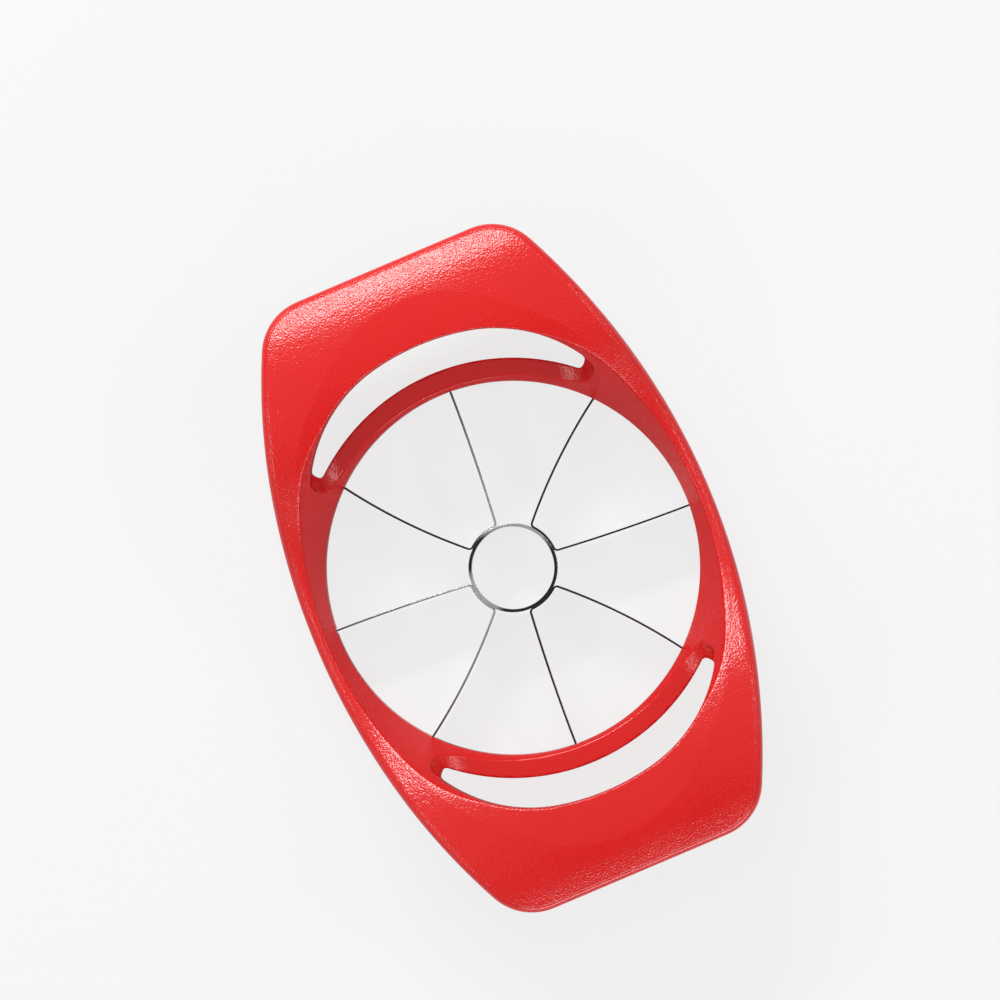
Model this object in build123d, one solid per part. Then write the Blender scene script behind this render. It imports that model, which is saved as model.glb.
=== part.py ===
from build123d import *
import math
import os

# Push-down apple slicer: a moulded frame with two wing handles, a thin steel
# core ring, four bent steel blade strips that make eight spokes, and a ring
# that locks the ends of the strips into the frame from below.
# Frame of reference: X along the handles, Y across, Z up. The origin is on
# the axis of the round opening, at the height of the face it stands on.

# --- driving dimensions, in millimetres and degrees -----------------------

# plan of the frame; the side rim is what the opening leaves at the long sides
overall_length = 174.2
side_rim = 6.55
side_radius = 183.0
corner_radius = 15.0

# heights above the face it stands on
overall_height = 40.0
side_height = 20.8
handle_underside = 21.0

# wing: hollow near the opening, crowned short of its end
crown_inset = 17.1
wing_hollow_radius = 72.5
underside_flat_x = 22.0
underside_hollow_radius = 54.6

# band that falls outward round the top, parted from the middle by an oval crest
end_band = 11.6
side_band = 2.9
cross_crown_radius = 286.0
edge_round = 2.4

# round opening, and the funnel that starts just above the blades
opening_radius = 49.65
blade_cover = 0.5
funnel_half_angle = 28.0

# collar round the opening, a bar above the funnel's foot beside each finger slot
bar_width = 6.15
bar_rise = 1.8

# finger slots: even in the middle, drawn in by tighter arcs from the shoulders on
slot_width = 8.2
slot_half_angle = 42.2
shoulder_angle = 12.0
shoulder_radius = 40.5
slot_tip_round = 1.3

# pocket above each bar; its floor is a long cradle that bends up past the slot's tips
pocket_floor_radius = 272.0
pocket_bend_start = 30.5
pocket_bend_radius = 11.5
pocket_rim_reach = 3.4
pocket_tip_round = 2.2
pocket_inset = 0.3

# moulded walls and the ribs under each handle
wall = 2.4
rib_thickness = 1.8
rib_count = 6
rib_pitch = 16.0
rib_recess = 2.0

# blades and core ring
spoke_count = 8
blade_thickness = 0.5
blade_top = 13.5
blade_edge_height = 0.8
bevel_height = 1.6
edge_flat = 0.08
blade_twist = -3.4
root_twist = -1.05
bow_leading = 1.15
bow_trailing = 0.35
bend_radius = 1.0
core_radius = 11.8
core_wall = 0.8
core_rise = 0.8

# seats of the blade ends and the lock ring
anchor_depth = 3.6
anchor_floor = 3.0
groove_lip = 1.4
lock_ring_width = 3.2
lock_ring_recess = 0.3
fit_clearance = 0.05

# how far a cutting body passes the faces that it cuts
margin = 5.0

# --- derived sizes --------------------------------------------------------

half_length = overall_length / 2
half_width = opening_radius + side_rim
above = overall_height + margin
wing_crown_x = half_length - crown_inset
crest_half_length = half_length - end_band
crest_half_width = half_width - side_band
foot_height = blade_top + blade_cover
bar_height = foot_height + bar_rise
core_top = blade_top + core_rise
collar_radius = opening_radius + bar_width
slot_outer_radius = collar_radius + slot_width
funnel_slope = math.tan(math.radians(funnel_half_angle))
spoke_step = 360 / spoke_count
strip_radius = core_radius + blade_thickness / 2
anchor_radius = opening_radius + anchor_depth
groove_inner_radius = opening_radius + groove_lip
groove_outer_radius = groove_inner_radius + lock_ring_width + 2 * fit_clearance


def polar(radius, angle):
    """Point in the XY plane at a radius and an angle in degrees."""
    turn = math.radians(angle)
    return Vector(radius * math.cos(turn), radius * math.sin(turn))


def prism(plan, bottom, top):
    """Solid over a plan, between two heights."""
    return extrude(Pos(0, 0, bottom) * plan, top - bottom, dir=(0, 0, 1))


def disc(radius, bottom, top):
    """Solid disc on the Z axis, between two heights."""
    return prism(Circle(radius), bottom, top)


def is_upright(edge):
    """Whether an edge is parallel to the Z axis."""
    return abs((edge % 0.5).Z) > math.cos(math.radians(1))


# --- side profiles of the wings -------------------------------------------

class Swoop:
    """A level line that rises through two tangent arcs, hollow then crowned."""

    def __init__(self, x_low, z_low, x_high, z_high, hollow_radius):
        run = x_high - x_low
        rise = z_high - z_low
        radius_sum = (run**2 + rise**2) / (2 * rise)
        self.x_low = x_low
        self.z_low = z_low
        self.x_high = x_high
        self.z_high = z_high
        self.hollow_radius = hollow_radius
        self.crown_radius = radius_sum - hollow_radius
        self.knee_x = x_low + run * hollow_radius / radius_sum

    def height(self, x):
        """Height of the line at a distance from the YZ plane."""
        if x <= self.x_low:
            return self.z_low
        if x <= self.knee_x:
            fall = math.sqrt(self.hollow_radius**2 - (x - self.x_low) ** 2)
            return self.z_low + self.hollow_radius - fall
        climb = math.sqrt(self.crown_radius**2 - (x - self.x_high) ** 2)
        return self.z_high - self.crown_radius + climb

    def arc(self, start, end, drop=0.0):
        """The part of one arc between two distances, in XZ coordinates."""
        stations = (start, (start + end) / 2, end)
        return ThreePointArc(*[(x, self.height(x) - drop) for x in stations])


wing_top = Swoop(0, side_height, wing_crown_x, overall_height, wing_hollow_radius)
wing_underside = Swoop(
    underside_flat_x, 0, half_length, handle_underside, underside_hollow_radius
)


def under_profile(swoop, start, floor, drop=0.0):
    """Solid below a swoop, on the +X side, as wide as the cut needs."""
    end = half_length + margin
    rise = swoop.arc(start, swoop.knee_x, drop) + swoop.arc(swoop.knee_x, end, drop)
    low = rise @ 0
    high = rise @ 1
    outline = rise + Polyline(high, (high.X, floor), (low.X, floor), low)
    face = make_face(Plane.XZ * outline)
    return extrude(face, half_width + margin, both=True)


def both_wings(solid):
    """A solid on the +X side together with its mirror image."""
    return solid + mirror(solid, about=Plane.YZ)


# --- plan shapes ----------------------------------------------------------

def frame_plan(inset=0.0):
    """Plan of the frame: two long bulging sides, straight ends, round corners."""
    side_centre = side_radius - half_width
    far_side = Pos(0, -side_centre) * Circle(side_radius - inset)
    near_side = Pos(0, side_centre) * Circle(side_radius - inset)
    ends = Rectangle(overall_length - 2 * inset, 2 * half_width)
    blank = far_side & near_side & ends
    return fillet(blank.vertices(), corner_radius - inset)


def crescent(inner_radius, half_angle, tip_round, inset, growth):
    """Plan of a +X crescent beside the opening, cut off along two radii.

    Its outer side is the slot's, drawn in by the inset. Growth moves every side
    outward by the same distance.
    """
    outer_radius = slot_outer_radius - inset + growth
    drawn_in_radius = shoulder_radius - inset + growth
    shoulder_centre = polar(slot_outer_radius - shoulder_radius, shoulder_angle)
    shoulder = polar(outer_radius, shoulder_angle)
    side_end = shoulder_centre + polar(drawn_in_radius, 90 + shoulder_angle)
    side_middle = shoulder_centre + polar(drawn_in_radius, 45 + shoulder_angle)
    half_side = [
        ThreePointArc((outer_radius, 0), polar(outer_radius, shoulder_angle / 2), shoulder),
        ThreePointArc(shoulder, side_middle, side_end),
        Line(side_end, (0, 0)),
        Line((0, 0), (outer_radius, 0)),
    ]
    half_blank = make_face(half_side)
    blank = half_blank + mirror(half_blank, about=Plane.XZ)
    apex = Vector(-growth / math.sin(math.radians(half_angle)), 0)
    reach = overall_length
    wedge = make_face(
        Polyline(apex, apex + polar(reach, -half_angle), apex + polar(reach, half_angle), apex)
    )
    blank = (blank - Circle(inner_radius - growth)) & wedge
    tip_corners = blank.vertices().sort_by(Axis.X)[:4]
    return fillet(tip_corners, tip_round + growth)


def slot_plan(growth=0.0):
    """Plan of the through slot for the fingers."""
    return crescent(collar_radius, slot_half_angle, slot_tip_round, 0, growth)


def above_cradle(growth):
    """Space above a floor that rises along Y, gently and then up to vertical."""
    floor_centre = Vector(0, bar_height + pocket_floor_radius)
    bend_angle = math.degrees(math.asin(pocket_bend_start / pocket_floor_radius)) - 90
    bend_centre = floor_centre + polar(pocket_floor_radius - pocket_bend_radius, bend_angle)
    floor_reach = pocket_floor_radius + growth
    bend_reach = pocket_bend_radius + growth
    floor_low = floor_centre + polar(floor_reach, -90)
    bend_start = bend_centre + polar(bend_reach, bend_angle)
    bend_middle = bend_centre + polar(bend_reach, bend_angle / 2)
    bend_end = bend_centre + polar(bend_reach, 0)
    half_profile = [
        RadiusArc(floor_low, bend_start, -floor_reach),
        ThreePointArc(bend_start, bend_middle, bend_end),
        Polyline(bend_end, (bend_end.X, above), (0, above), floor_low),
    ]
    half = extrude(Plane.YZ * make_face(half_profile), overall_length)
    return half + mirror(half, about=Plane.XZ)


def pocket(growth=0.0):
    """Space above the +X bar, which bares the collar and the slot's tips."""
    plan = crescent(
        opening_radius,
        slot_half_angle + pocket_rim_reach,
        pocket_tip_round,
        pocket_inset,
        growth,
    )
    return prism(plan, 0, above) & above_cradle(growth)


# --- frame ----------------------------------------------------------------

def crowned_top(drop=0.0):
    """Solid below the outward-falling band, a crown across a swooping spine."""
    lift = crest_half_width**2 / (2 * cross_crown_radius)
    edge = half_width + margin
    sag = cross_crown_radius - math.sqrt(cross_crown_radius**2 - edge**2)
    end = half_length + margin
    section_count = 17
    sections = []
    for index in range(section_count):
        x = end * (2 * index / (section_count - 1) - 1)
        spine = wing_top.height(abs(x)) + lift * (1 - (x / crest_half_length) ** 2) - drop
        rim = spine - sag
        outline = ThreePointArc((x, -edge, rim), (x, 0, spine), (x, edge, rim))
        outline += Polyline(
            (x, edge, rim),
            (x, edge, -margin),
            (x, -edge, -margin),
            (x, -edge, rim),
        )
        sections.append(make_face(outline))
    return loft(sections)


def moulded_block(inset=0.0, drop=0.0):
    """Solid between the frame's plan and its top, before it is hollowed."""
    block = prism(frame_plan(inset), -margin, above)
    block &= both_wings(under_profile(wing_top, 0, -margin, drop))
    return block & crowned_top(drop)


def rounded_block():
    """The outer block with its top edge rounded all the way round."""
    block = moulded_block()
    rim = frame_plan().face().outer_wire()
    edges = []
    for edge in block.edges():
        middle = edge @ 0.5
        beside_rim = rim.distance_to(Vertex(middle.X, middle.Y, 0)) < fit_clearance
        if beside_rim and middle.Z > foot_height and not is_upright(edge):
            edges.append(edge)
    return fillet(edges, edge_round)


def funnel(widening=0.0):
    """Cone frustum above the opening; widening thickens it by a wall."""
    low = foot_height
    radius_low = opening_radius + widening
    radius_high = radius_low + (above - low) * funnel_slope
    cone = Cone(radius_low, radius_high, above - low, align=(Align.CENTER, Align.CENTER, Align.MIN))
    return Pos(0, 0, low) * cone


def handle_ribs():
    """Ribs across the +X handle, shorter than its skirt."""
    ribs = []
    for index in range(rib_count):
        y = (index - (rib_count - 1) / 2) * rib_pitch
        blank = Box(half_length, rib_thickness, above, align=(Align.MIN, Align.CENTER, Align.MIN))
        rib = Pos(collar_radius, y, 0) * blank
        ribs.append(rib - under_profile(wing_underside, underside_flat_x, -margin, -rib_recess))
    return ribs


def hollow():
    """Space inside the frame, open below, clear of every wall and rib."""
    space = moulded_block(wall, wall)
    space -= disc(collar_radius, -2 * margin, bar_height)
    space -= funnel(wall / math.cos(math.radians(funnel_half_angle)))
    space -= both_wings(prism(slot_plan(wall), -2 * margin, above))
    space -= both_wings(pocket(wall))
    for rib in handle_ribs():
        space -= both_wings(rib)
    return space


def build_frame():
    """The one-piece moulding: wings, collar, slots and blade seats."""
    frame = rounded_block() - hollow()
    frame -= both_wings(under_profile(wing_underside, underside_flat_x, -2 * margin))
    frame += disc(collar_radius, 0, bar_height) & prism(frame_plan(), -margin, above)
    frame -= disc(overall_length, -2 * margin, 0)
    frame -= disc(opening_radius, -margin, above)
    frame -= funnel()
    frame -= both_wings(pocket())
    frame -= both_wings(prism(slot_plan(), -margin, above))
    frame -= disc(groove_outer_radius, -margin, anchor_floor) - disc(
        groove_inner_radius, -margin, anchor_floor
    )
    for index in range(spoke_count // 2):
        frame -= blade_seat(index)
    return frame


# --- blades ---------------------------------------------------------------

def spoke_arc(angle, bow):
    """Centre line of one spoke from the hub out, bowed to one side."""
    root = polar(strip_radius, angle + root_twist)
    tip = polar(opening_radius, angle + blade_twist)
    sideways = (tip - root).normalized().rotate(Axis.Z, 90)
    return ThreePointArc(root, (root + tip) / 2 + sideways * bow, tip)


def strip_path(index, reach):
    """Centre line of a strip: in along a spoke, round the hub, out again."""
    angle = 2 * index * spoke_step
    trailing = spoke_arc(angle, -bow_trailing)
    leading = spoke_arc(angle + spoke_step, bow_leading)
    hub_middle = polar(strip_radius, angle + root_twist + spoke_step / 2)
    hub = ThreePointArc(trailing @ 0, hub_middle, leading @ 0)
    first_end = trailing @ 1 + (trailing % 1) * reach
    last_end = leading @ 1 + (leading % 1) * reach
    path = Wire(
        [Line(first_end, trailing @ 1), trailing, hub, leading, Line(leading @ 1, last_end)]
    )
    bends = [v for v in path.vertices() if abs(Vector(v).length - strip_radius) < fit_clearance]
    return path.fillet_2d(bend_radius, bends)


def swept_strip(index, reach, section):
    """A section, given as sideways and height pairs, swept along a strip."""
    path = strip_path(index, reach)
    forward = path % 0
    start = Plane(origin=path @ 0, x_dir=Vector(0, 0, 1).cross(forward), z_dir=forward)
    face = make_face(start * Polyline(*section, section[0]))
    return sweep(face, path=path)


def blade_seat(index):
    """Slots that one strip's two ends slide up into, open below."""
    half = blade_thickness / 2 + fit_clearance
    section = [(-half, -margin), (half, -margin), (half, blade_top), (-half, blade_top)]
    seat = swept_strip(index, anchor_depth + fit_clearance, section)
    return seat - disc(opening_radius - margin, -2 * margin, above)


def build_strip(index):
    """One bent strip with a ground lower edge and notched ends."""
    half = blade_thickness / 2
    shoulder = blade_edge_height + bevel_height
    section = [
        (-half, blade_top),
        (-half, shoulder),
        (-edge_flat / 2, blade_edge_height),
        (edge_flat / 2, blade_edge_height),
        (half, shoulder),
        (half, blade_top),
    ]
    strip = swept_strip(index, anchor_depth, section)
    notch = disc(anchor_radius + margin, -margin, anchor_floor)
    notch -= disc(groove_inner_radius - fit_clearance, -margin, anchor_floor)
    return strip - notch


def build_core_ring():
    """Rolled steel ring that cores the apple, ground inside its lower edge."""
    outline = Polyline(
        (core_radius, blade_edge_height),
        (core_radius, core_top),
        (core_radius - core_wall, core_top),
        (core_radius - core_wall, blade_edge_height + bevel_height),
        (core_radius - edge_flat, blade_edge_height),
        (core_radius, blade_edge_height),
    )
    return revolve(make_face(Plane.XZ * outline), Axis.Z)


def build_lock_ring():
    """Ring in the groove under the collar that holds the blade ends up."""
    inner = groove_inner_radius + fit_clearance
    ring = disc(inner + lock_ring_width, lock_ring_recess, anchor_floor)
    return ring - disc(inner, lock_ring_recess, anchor_floor)


# --- write one STEP per piece ---------------------------------------------

pieces = {
    "frame": build_frame(),
    "lock_ring": build_lock_ring(),
    "core_ring": build_core_ring(),
}
for index in range(spoke_count // 2):
    pieces[f"blade_strip_{index + 1}"] = build_strip(index)

os.makedirs("parts", exist_ok=True)
for name, piece in pieces.items():
    export_step(piece, f"parts/{name}.step")
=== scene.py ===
import math

import bpy
from mathutils import Matrix, Vector


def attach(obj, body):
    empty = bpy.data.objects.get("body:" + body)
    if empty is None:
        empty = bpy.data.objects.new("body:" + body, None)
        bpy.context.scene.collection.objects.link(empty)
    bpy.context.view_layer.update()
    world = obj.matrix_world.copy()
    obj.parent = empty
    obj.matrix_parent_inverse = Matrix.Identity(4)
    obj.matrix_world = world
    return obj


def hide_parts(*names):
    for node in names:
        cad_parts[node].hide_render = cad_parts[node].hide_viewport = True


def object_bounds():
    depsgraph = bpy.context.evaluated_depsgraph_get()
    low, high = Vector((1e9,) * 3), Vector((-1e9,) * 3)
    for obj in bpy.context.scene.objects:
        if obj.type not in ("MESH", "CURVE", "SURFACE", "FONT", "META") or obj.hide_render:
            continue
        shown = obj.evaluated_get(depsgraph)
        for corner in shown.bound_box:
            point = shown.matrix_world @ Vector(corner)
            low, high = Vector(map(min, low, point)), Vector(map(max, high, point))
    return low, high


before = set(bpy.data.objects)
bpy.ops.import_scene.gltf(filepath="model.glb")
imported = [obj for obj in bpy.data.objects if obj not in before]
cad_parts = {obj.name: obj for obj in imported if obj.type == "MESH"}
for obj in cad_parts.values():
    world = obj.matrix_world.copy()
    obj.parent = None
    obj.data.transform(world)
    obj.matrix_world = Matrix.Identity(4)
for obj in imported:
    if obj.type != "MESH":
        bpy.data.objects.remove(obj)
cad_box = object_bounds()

# Looks of a push-down apple slicer: a red moulded frame, a red lock ring under
# it, and steel blades round a steel core ring. Lengths are in metres, and noise
# scales are counted per metre, except where a comment says otherwise.

MM = 0.001

# --- plan of the moulded frame: its extent, and its arcs as the solids have them

HALF_LENGTH = cad_box[1][0]
HALF_WIDTH = cad_box[1][1]
SIDE_RADIUS = 183.0 * MM
CORNER_RADIUS = 15.0 * MM
SIDE_CENTRE = SIDE_RADIUS - HALF_WIDTH
CORNER_X = HALF_LENGTH - CORNER_RADIUS
CORNER_Y = math.sqrt((SIDE_RADIUS - CORNER_RADIUS) ** 2 - CORNER_X**2) - SIDE_CENTRE

# --- softening of the moulding's edges -------------------------------------

VOXEL = 0.33 * MM
SOFTEN_PASSES = 4
SOFTEN_FACTOR = 0.5
KEPT_FACES = 0.28

# --- where the moulding is polished: funnel, opening and the bars' top -----

OPENING_RADIUS = 49.65 * MM
FUNNEL_FOOT = 14.0 * MM
FUNNEL_SLOPE = math.tan(math.radians(28.0))
COLLAR_RADIUS = 55.8 * MM
BAR_HEIGHT = 17.1 * MM
POLISH_FADE = 0.5 * MM

# the mould's parting line runs just inside the rim, and is polished outside it;
# both are counted in millimetres, as rim_inset() is
PARTING_INSET = 1.35
PARTING_HALF_WIDTH = 0.30

# --- surface of the plastic ------------------------------------------------

PEBBLE_SCALE = 1950.0
PEBBLE_DETAIL = 0.4
PEBBLE_DEPTH = 0.115 * MM
POLISHED_GRAIN = 0.03
PARTING_DEPTH = 0.09 * MM
CLOUD_SCALE = 60.0
CLOUD_DETAIL = 3.0
CLOUD_ROUGHNESS = 0.06
POLISHED_ROUGHNESS = 0.17
GRAINED_ROUGHNESS = 0.24
PLASTIC_IOR = 1.52
PLASTIC_SPECULAR = 0.60

# --- surface of the steel --------------------------------------------------

ROLLING_SCALE = 420.0
ROLLING_DETAIL = 4.0
ROLLING_STRETCH = 18.0
ROLLING_DEPTH = 0.03 * MM
ROLLING_STRENGTH = 0.05
SMOOTH_ROUGHNESS = 0.16
LINED_ROUGHNESS = 0.34

# upward part of the normal, from where a side starts to get the painted dark reflection of its
# top edge
TOP_STARTS = 0.3
TOP_FULL = 0.8

# --- steel edges -----------------------------------------------------------

STEEL_EDGE_ROUND = 0.10 * MM
STEEL_EDGE_STEPS = 3
STEEL_EDGE_ANGLE = math.radians(50.0)
STEEL_SHARP_ANGLE = math.radians(40.0)
WELD_DISTANCE = 0.001 * MM
FLAT_ANGLE = math.radians(0.4)

# top edges get a painted dark reflection, with painted highlights in some stretches: middle and
# half width of each stretch in degrees about Z, on the core ring and on the strips
RING_BRIGHT = ((150.0, 55.0), (287.0, 38.0))
STRIP_BRIGHT = ((180.0, 24.0), (292.0, 42.0))

# the painted highlight fades out over the last third of a stretch's half width
HIGHLIGHT_SLOPE = 3.0

# the painted highlight fades along a strip, from all of it at the first radius to none at the
# second
HIGHLIGHT_ALL = 14.0 * MM
HIGHLIGHT_NONE = 54.0 * MM

# --- colours, linear -------------------------------------------------------

RED = (0.68, 0.0064, 0.0064, 1.0)
RED_DEEP = (0.63, 0.0052, 0.0052, 1.0)
STEEL = (0.86, 0.86, 0.87, 1.0)
STEEL_DARK = (0.62, 0.62, 0.63, 1.0)
# painted dark reflection, laid on the steel's top edges
DARK_TOP_PAINT = (0.05, 0.05, 0.052, 1.0)
WHITE = (1.0, 1.0, 1.0, 1.0)
FLOOR_COLOUR = (0.58, 0.58, 0.59, 1.0)

# --- studio ----------------------------------------------------------------

# the camera looks down, leaning a little from the +Y side; the handles' line is
# turned in the picture
CAMERA_TURN = math.radians(66.97)
CAMERA_LEAN = math.radians(0.8)
CAMERA_DISTANCE = 6.0
AIM_HEIGHT = 14.0 * MM
FOCUS_HEIGHT = 30.0 * MM
PICTURE_WIDTH = 264.0 * MM
VIEW_END = 100.0

# the sensor's width, and so the lens, in millimetres; shifts in widths of the picture
SENSOR = 36.0
SHIFT_X = -0.01288
SHIFT_Y = 0.06784

# soft boxes: heading about Z from +X and tilt from straight up in degrees, distance,
# width, height, power
SOFT_BOXES = {
    "key": (180.0, 52.5, 1.2, 0.80, 0.14, 11.6),
    "far_low": (0.0, 73.0, 1.2, 1.00, 0.40, 6.5),
    "upper_side": (88.0, 48.0, 1.2, 0.80, 0.08, 2.7),
    "lower_side": (-88.0, 48.0, 1.2, 0.80, 0.08, 2.7),
}

# the world is even, but darker on the side away from the key light
SKY_LEVEL = 0.42
DARK_LEVEL = 0.10
DARK_TILT = math.radians(36.0)
DARK_INNER = math.cos(math.radians(6.0))
DARK_OUTER = math.cos(math.radians(28.0))

FLOOR_HALF = 3.0
FLOOR_ROUGHNESS = 0.9

# share of plain white that the floor shows to the camera, and in the object's gloss
FLOOR_GLOW = 0.78
GLOSS_GLOW = 0.08


# --- small helpers ---------------------------------------------------------

def new_material(name):
    """An empty node material: its nodes, links and Principled shader."""
    material = bpy.data.materials.new(name)
    material.use_nodes = True
    nodes = material.node_tree.nodes
    shader = nodes["Principled BSDF"]
    return material, nodes, material.node_tree.links, shader


def add(nodes, kind, **values):
    """A node of a kind, with its properties and unlinked inputs set by name."""
    node = nodes.new(kind)
    for name, value in values.items():
        if hasattr(node, name):
            setattr(node, name, value)
        else:
            node.inputs[name.replace("_", " ")].default_value = value
    return node


def math_node(nodes, links, operation, first, second):
    """A math node on two values, each a socket or a number; returns its output."""
    node = add(nodes, "ShaderNodeMath", operation=operation)
    for socket, value in zip(node.inputs, (first, second)):
        if isinstance(value, (int, float)):
            socket.default_value = value
        else:
            links.new(value, socket)
    return node.outputs["Value"]


def set_only_material(piece, material):
    """Gives a piece one material in place of all it has."""
    piece.data.materials.clear()
    piece.data.materials.append(material)


# --- materials -------------------------------------------------------------

def red_plastic():
    """Moulded red ABS: fine grain where the mask is 1, polished where it is 0."""
    material, nodes, links, shader = new_material("moulded_red_plastic")
    place = add(nodes, "ShaderNodeTexCoord").outputs["Object"]
    mask = add(nodes, "ShaderNodeAttribute", attribute_name="grain").outputs["Fac"]
    inset = add(nodes, "ShaderNodeAttribute", attribute_name="rim_inset").outputs["Fac"]

    pebbles = add(nodes, "ShaderNodeTexNoise", Scale=PEBBLE_SCALE, Detail=PEBBLE_DETAIL)
    links.new(place, pebbles.inputs["Vector"])
    depth = add(nodes, "ShaderNodeMapRange", To_Min=POLISHED_GRAIN, To_Max=1.0)
    links.new(mask, depth.inputs["Value"])
    grain = add(nodes, "ShaderNodeBump", Distance=PEBBLE_DEPTH)
    links.new(depth.outputs["Result"], grain.inputs["Strength"])
    links.new(pebbles.outputs["Fac"], grain.inputs["Height"])

    off_line = math_node(nodes, links, "SUBTRACT", inset, PARTING_INSET)
    off_line = math_node(nodes, links, "ABSOLUTE", off_line, 0.0)
    ridge = add(nodes, "ShaderNodeMapRange", interpolation_type="SMOOTHSTEP")
    ridge.inputs["From Min"].default_value = 0.0
    ridge.inputs["From Max"].default_value = PARTING_HALF_WIDTH
    links.new(off_line, ridge.inputs["Value"])
    parting = add(nodes, "ShaderNodeBump", Strength=1.0, Distance=PARTING_DEPTH)
    links.new(ridge.outputs["Result"], parting.inputs["Height"])
    links.new(grain.outputs["Normal"], parting.inputs["Normal"])
    links.new(parting.outputs["Normal"], shader.inputs["Normal"])

    cloud = add(nodes, "ShaderNodeTexNoise", Scale=CLOUD_SCALE, Detail=CLOUD_DETAIL)
    links.new(place, cloud.inputs["Vector"])
    gloss = add(nodes, "ShaderNodeMapRange")
    gloss.inputs["To Min"].default_value = POLISHED_ROUGHNESS
    gloss.inputs["To Max"].default_value = GRAINED_ROUGHNESS
    links.new(mask, gloss.inputs["Value"])
    uneven = math_node(nodes, links, "MULTIPLY", cloud.outputs["Fac"], CLOUD_ROUGHNESS)
    rough = math_node(nodes, links, "ADD", uneven, gloss.outputs["Result"])
    links.new(rough, shader.inputs["Roughness"])

    colour = add(nodes, "ShaderNodeMix", data_type="RGBA")
    colour.inputs["A"].default_value = RED_DEEP
    colour.inputs["B"].default_value = RED
    links.new(cloud.outputs["Fac"], colour.inputs["Factor"])
    links.new(colour.outputs["Result"], shader.inputs["Base Color"])
    shader.inputs["IOR"].default_value = PLASTIC_IOR
    shader.inputs["Specular IOR Level"].default_value = PLASTIC_SPECULAR
    return material


def satin_steel():
    """Cold-rolled stainless strip: fine rolling lines, a painted dark reflection on its top
    edge, and painted highlights in some stretches.
    """
    material, nodes, links, shader = new_material("satin_steel")
    place = add(nodes, "ShaderNodeTexCoord").outputs["Object"]
    stretch = add(nodes, "ShaderNodeMapping")
    stretch.inputs["Scale"].default_value = (1.0, 1.0, ROLLING_STRETCH)
    lines = add(nodes, "ShaderNodeTexNoise", Scale=ROLLING_SCALE, Detail=ROLLING_DETAIL)
    links.new(place, stretch.inputs["Vector"])
    links.new(stretch.outputs["Vector"], lines.inputs["Vector"])
    rough = add(nodes, "ShaderNodeMapRange")
    rough.inputs["To Min"].default_value = SMOOTH_ROUGHNESS
    rough.inputs["To Max"].default_value = LINED_ROUGHNESS
    links.new(lines.outputs["Fac"], rough.inputs["Value"])
    links.new(rough.outputs["Result"], shader.inputs["Roughness"])

    # painted highlight on the top edges, in the stretches listed above
    painted_highlight = add(nodes, "ShaderNodeAttribute", attribute_name="painted_highlight").outputs["Fac"]
    facing = add(nodes, "ShaderNodeNewGeometry").outputs["Normal"]
    split = add(nodes, "ShaderNodeSeparateXYZ")
    links.new(facing, split.inputs["Vector"])
    top = add(nodes, "ShaderNodeMapRange")
    top.inputs["From Min"].default_value = TOP_STARTS
    top.inputs["From Max"].default_value = TOP_FULL
    links.new(split.outputs["Z"], top.inputs["Value"])
    # the top edges get the painted dark reflection, except where the painted highlight is
    unhighlighted = math_node(nodes, links, "SUBTRACT", 1.0, painted_highlight)
    painted_dark_top = math_node(nodes, links, "MULTIPLY", top.outputs["Result"], unhighlighted)

    colour = add(nodes, "ShaderNodeMix", data_type="RGBA")
    colour.inputs["A"].default_value = STEEL_DARK
    colour.inputs["B"].default_value = STEEL
    links.new(lines.outputs["Fac"], colour.inputs["Factor"])
    edge = add(nodes, "ShaderNodeMix", data_type="RGBA")
    edge.inputs["B"].default_value = DARK_TOP_PAINT
    links.new(painted_dark_top, edge.inputs["Factor"])
    links.new(colour.outputs["Result"], edge.inputs["A"])
    links.new(edge.outputs["Result"], shader.inputs["Base Color"])

    bump = add(nodes, "ShaderNodeBump")
    bump.inputs["Strength"].default_value = ROLLING_STRENGTH
    bump.inputs["Distance"].default_value = ROLLING_DEPTH
    links.new(lines.outputs["Fac"], bump.inputs["Height"])
    links.new(bump.outputs["Normal"], shader.inputs["Normal"])
    shader.inputs["Metallic"].default_value = 1.0
    return material


# --- pieces ----------------------------------------------------------------

def apply_modifiers(piece):
    """Turns a piece's modifiers into its mesh."""
    graph = bpy.context.evaluated_depsgraph_get()
    mesh = bpy.data.meshes.new_from_object(piece.evaluated_get(graph))
    piece.modifiers.clear()
    piece.data = mesh


def copy_of(node, name):
    """A new piece with a copy of a CAD node's mesh."""
    piece = bpy.data.objects.new(name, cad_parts[node].data.copy())
    bpy.context.scene.collection.objects.link(piece)
    return piece


def hand_over(piece, node, material):
    """Puts a piece in the place of a CAD node."""
    set_only_material(piece, material)
    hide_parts(node)
    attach(piece, "root")


def rim_inset(point):
    """How far a point lies inside the frame's plan, in millimetres."""
    x = abs(point.x)
    y = abs(point.y)
    past_end = x > CORNER_X and y > CORNER_Y
    past_side = x * (CORNER_Y + SIDE_CENTRE) > CORNER_X * (y + SIDE_CENTRE)
    if past_end and past_side:
        inset = CORNER_RADIUS - math.hypot(x - CORNER_X, y - CORNER_Y)
    else:
        inset = min(HALF_LENGTH - x, SIDE_RADIUS - math.hypot(x, y + SIDE_CENTRE))
    return inset / MM


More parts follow.
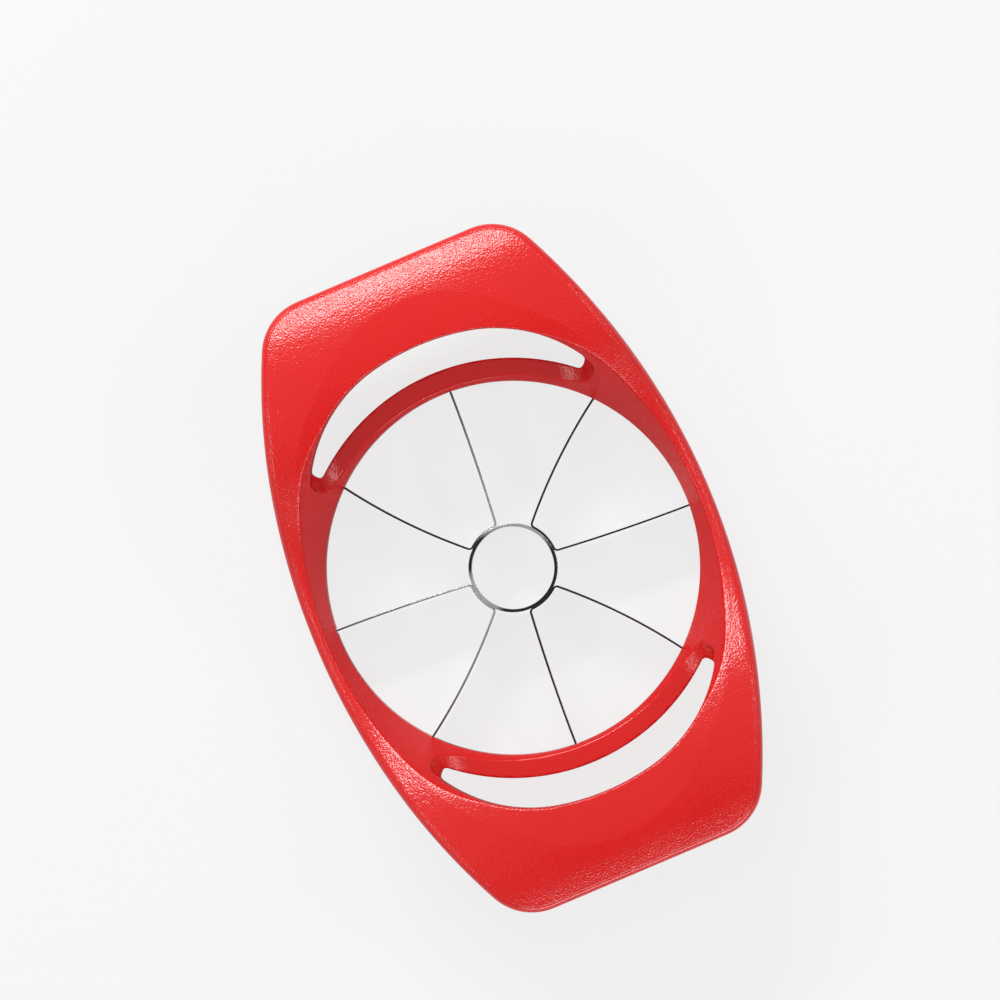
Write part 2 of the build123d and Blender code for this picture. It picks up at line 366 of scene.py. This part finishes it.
def grain_mask(point):
    """1 on the grained outside, 0 in the funnel, on the bars and at the rim."""
    radius = math.hypot(point.x, point.y)
    funnel_radius = OPENING_RADIUS + max(0.0, point.z - FUNNEL_FOOT) * FUNNEL_SLOPE
    outside_funnel = (radius - funnel_radius) / POLISH_FADE + 0.5
    inside_rim = (rim_inset(point) - PARTING_INSET) / PARTING_HALF_WIDTH
    mask = min(1.0, max(0.0, min(outside_funnel, inside_rim)))
    if point.z < BAR_HEIGHT + POLISH_FADE and radius < COLLAR_RADIUS + POLISH_FADE:
        mask = 0.0
    return mask


def set_attribute(piece, name, measure):
    """A value on each vertex, measured from its place."""
    attribute = piece.data.attributes.new(name, "FLOAT", "POINT")
    attribute.data.foreach_set("value", [measure(v.co) for v in piece.data.vertices])


def soft_moulding(node, name):
    """A copy of a CAD moulding whose edges are softened as a mould leaves them."""
    piece = copy_of(node, name)
    remesh = piece.modifiers.new("remesh", "REMESH")
    remesh.mode = "VOXEL"
    remesh.voxel_size = VOXEL
    remesh.use_smooth_shade = True
    soften = piece.modifiers.new("soften", "SMOOTH")
    soften.factor = SOFTEN_FACTOR
    soften.iterations = SOFTEN_PASSES
    thin = piece.modifiers.new("thin", "DECIMATE")
    thin.ratio = KEPT_FACES
    apply_modifiers(piece)
    set_attribute(piece, "grain", grain_mask)
    set_attribute(piece, "rim_inset", rim_inset)
    return piece


def highlight_within(stretches):
    """Painted highlight measure: 1 in the middle of each stretch near the hub and 0 outside
    them.
    """
    def painted_highlight(point):
        angle = math.degrees(math.atan2(point.y, point.x))
        strength = 0.0
        for middle, half_width in stretches:
            apart = abs((angle - middle + 180.0) % 360.0 - 180.0)
            strength = max(strength, min(1.0, HIGHLIGHT_SLOPE * (1.0 - apart / half_width)))
        radius = math.hypot(point.x, point.y)
        fade = (HIGHLIGHT_NONE - radius) / (HIGHLIGHT_NONE - HIGHLIGHT_ALL)
        return strength * min(1.0, max(0.0, fade))
    return painted_highlight


def deburred_steel(node, name, flat_sided):
    """A copy of a CAD steel part with its sheared edges slightly rounded.

    A part whose flat faces have no hole in them gets each as one polygon first.
    """
    piece = copy_of(node, name)
    weld = piece.modifiers.new("weld", "WELD")
    weld.merge_threshold = WELD_DISTANCE
    if flat_sided:
        merge = piece.modifiers.new("merge", "DECIMATE")
        merge.decimate_type = "DISSOLVE"
        merge.angle_limit = FLAT_ANGLE
    rounding = piece.modifiers.new("rounding", "BEVEL")
    rounding.width = STEEL_EDGE_ROUND
    rounding.segments = STEEL_EDGE_STEPS
    rounding.limit_method = "ANGLE"
    rounding.angle_limit = STEEL_EDGE_ANGLE
    apply_modifiers(piece)
    piece.data.shade_smooth()
    piece.data.set_sharp_from_angle(angle=STEEL_SHARP_ANGLE)
    return piece


def dress_steel(node, steel, stretches, flat_sided):
    """Puts a deburred copy, with painted highlights in some stretches, in a CAD node's place."""
    piece = deburred_steel(node, f"deburred_{node}", flat_sided)
    set_attribute(piece, "painted_highlight", highlight_within(stretches))
    hand_over(piece, node, steel)


def dress_object():
    """Replaces or repaints every CAD node."""
    plastic = red_plastic()
    moulding = soft_moulding("frame", "slicer_frame")
    hand_over(moulding, "frame", plastic)
    set_only_material(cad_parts["lock_ring"], plastic)

    steel = satin_steel()
    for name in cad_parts:
        if name == "core_ring":
            dress_steel(name, steel, RING_BRIGHT, flat_sided=False)
        elif name.startswith("blade_strip"):
            dress_steel(name, steel, STRIP_BRIGHT, flat_sided=True)


# --- studio ----------------------------------------------------------------

def white_floor():
    """A white floor, partly glowing, so the camera sees the object's shadow faintly."""
    half = FLOOR_HALF
    corners = [(-half, -half, 0), (half, -half, 0), (half, half, 0), (-half, half, 0)]
    mesh = bpy.data.meshes.new("floor")
    mesh.from_pydata(corners, [], [(0, 1, 2, 3)])
    floor = bpy.data.objects.new("floor", mesh)
    bpy.context.scene.collection.objects.link(floor)
    material, nodes, links, shader = new_material("white_floor")
    shader.inputs["Base Color"].default_value = FLOOR_COLOUR
    shader.inputs["Roughness"].default_value = FLOOR_ROUGHNESS
    shader.inputs["Specular IOR Level"].default_value = 0.0
    glow = add(nodes, "ShaderNodeEmission", Color=WHITE, Strength=1.0)
    rays = add(nodes, "ShaderNodeLightPath").outputs
    straight = math_node(nodes, links, "MULTIPLY", rays["Is Camera Ray"], FLOOR_GLOW)
    bent = math_node(nodes, links, "MAXIMUM", rays["Is Glossy Ray"], rays["Is Transmission Ray"])
    bent = math_node(nodes, links, "MULTIPLY", bent, GLOSS_GLOW)
    share = math_node(nodes, links, "MAXIMUM", straight, bent)
    blend = add(nodes, "ShaderNodeMixShader")
    links.new(share, blend.inputs["Fac"])
    links.new(shader.outputs["BSDF"], blend.inputs[1])
    links.new(glow.outputs["Emission"], blend.inputs[2])
    links.new(blend.outputs["Shader"], nodes["Material Output"].inputs["Surface"])
    mesh.materials.append(material)


def heading_at(turn, tilt):
    """Unit vector at an angle about Z from +X and a tilt from straight up."""
    flat = Vector((math.cos(turn), math.sin(turn), 0.0))
    return flat * math.sin(tilt) + Vector((0.0, 0.0, math.cos(tilt)))


def soft_sky():
    """Even light from all round, darker on the side away from the key light."""
    world = bpy.data.worlds.new("studio")
    bpy.context.scene.world = world
    world.use_nodes = True
    nodes = world.node_tree.nodes
    links = world.node_tree.links
    background = nodes["Background"]
    heading = add(nodes, "ShaderNodeTexCoord").outputs["Generated"]
    toward = add(nodes, "ShaderNodeVectorMath", operation="DOT_PRODUCT")
    toward.inputs[1].default_value = heading_at(0.0, DARK_TILT)
    links.new(heading, toward.inputs[0])
    level = add(nodes, "ShaderNodeMapRange", interpolation_type="SMOOTHSTEP")
    level.inputs["From Min"].default_value = DARK_OUTER
    level.inputs["From Max"].default_value = DARK_INNER
    level.inputs["To Min"].default_value = SKY_LEVEL
    level.inputs["To Max"].default_value = DARK_LEVEL
    links.new(toward.outputs["Value"], level.inputs["Value"])
    links.new(level.outputs["Result"], background.inputs["Strength"])
    background.inputs["Color"].default_value = WHITE


def soft_box(name, turn, tilt, distance, width, height, power):
    """One soft box, turned to the object."""
    lamp = bpy.data.lights.new(name, "AREA")
    lamp.shape = "RECTANGLE"
    lamp.size = width
    lamp.size_y = height
    lamp.energy = power
    box = bpy.data.objects.new(name, lamp)
    bpy.context.scene.collection.objects.link(box)
    place = heading_at(math.radians(turn), math.radians(tilt))
    box.location = place * distance
    box.rotation_mode = "QUATERNION"
    box.rotation_quaternion = place.to_track_quat("Z", "Y")


def camera_above():
    """The camera, above the opening and turned to it."""
    lens = bpy.data.cameras.new("camera")
    lens.sensor_width = SENSOR
    lens.lens = SENSOR * (CAMERA_DISTANCE - FOCUS_HEIGHT) / PICTURE_WIDTH
    lens.shift_x = SHIFT_X
    lens.shift_y = SHIFT_Y
    lens.clip_end = VIEW_END
    camera = bpy.data.objects.new("camera", lens)
    bpy.context.scene.collection.objects.link(camera)
    lean = Matrix.Rotation(-CAMERA_LEAN, 3, "X")
    camera.location = lean @ Vector((0.0, 0.0, CAMERA_DISTANCE)) + Vector((0.0, 0.0, AIM_HEIGHT))
    camera.rotation_euler = (lean @ Matrix.Rotation(CAMERA_TURN, 3, "Z")).to_euler()
    bpy.context.scene.camera = camera


dress_object()
white_floor()
soft_sky()
for name, values in SOFT_BOXES.items():
    soft_box(name, *values)
camera_above()
bpy.context.scene.view_settings.view_transform = "Standard"
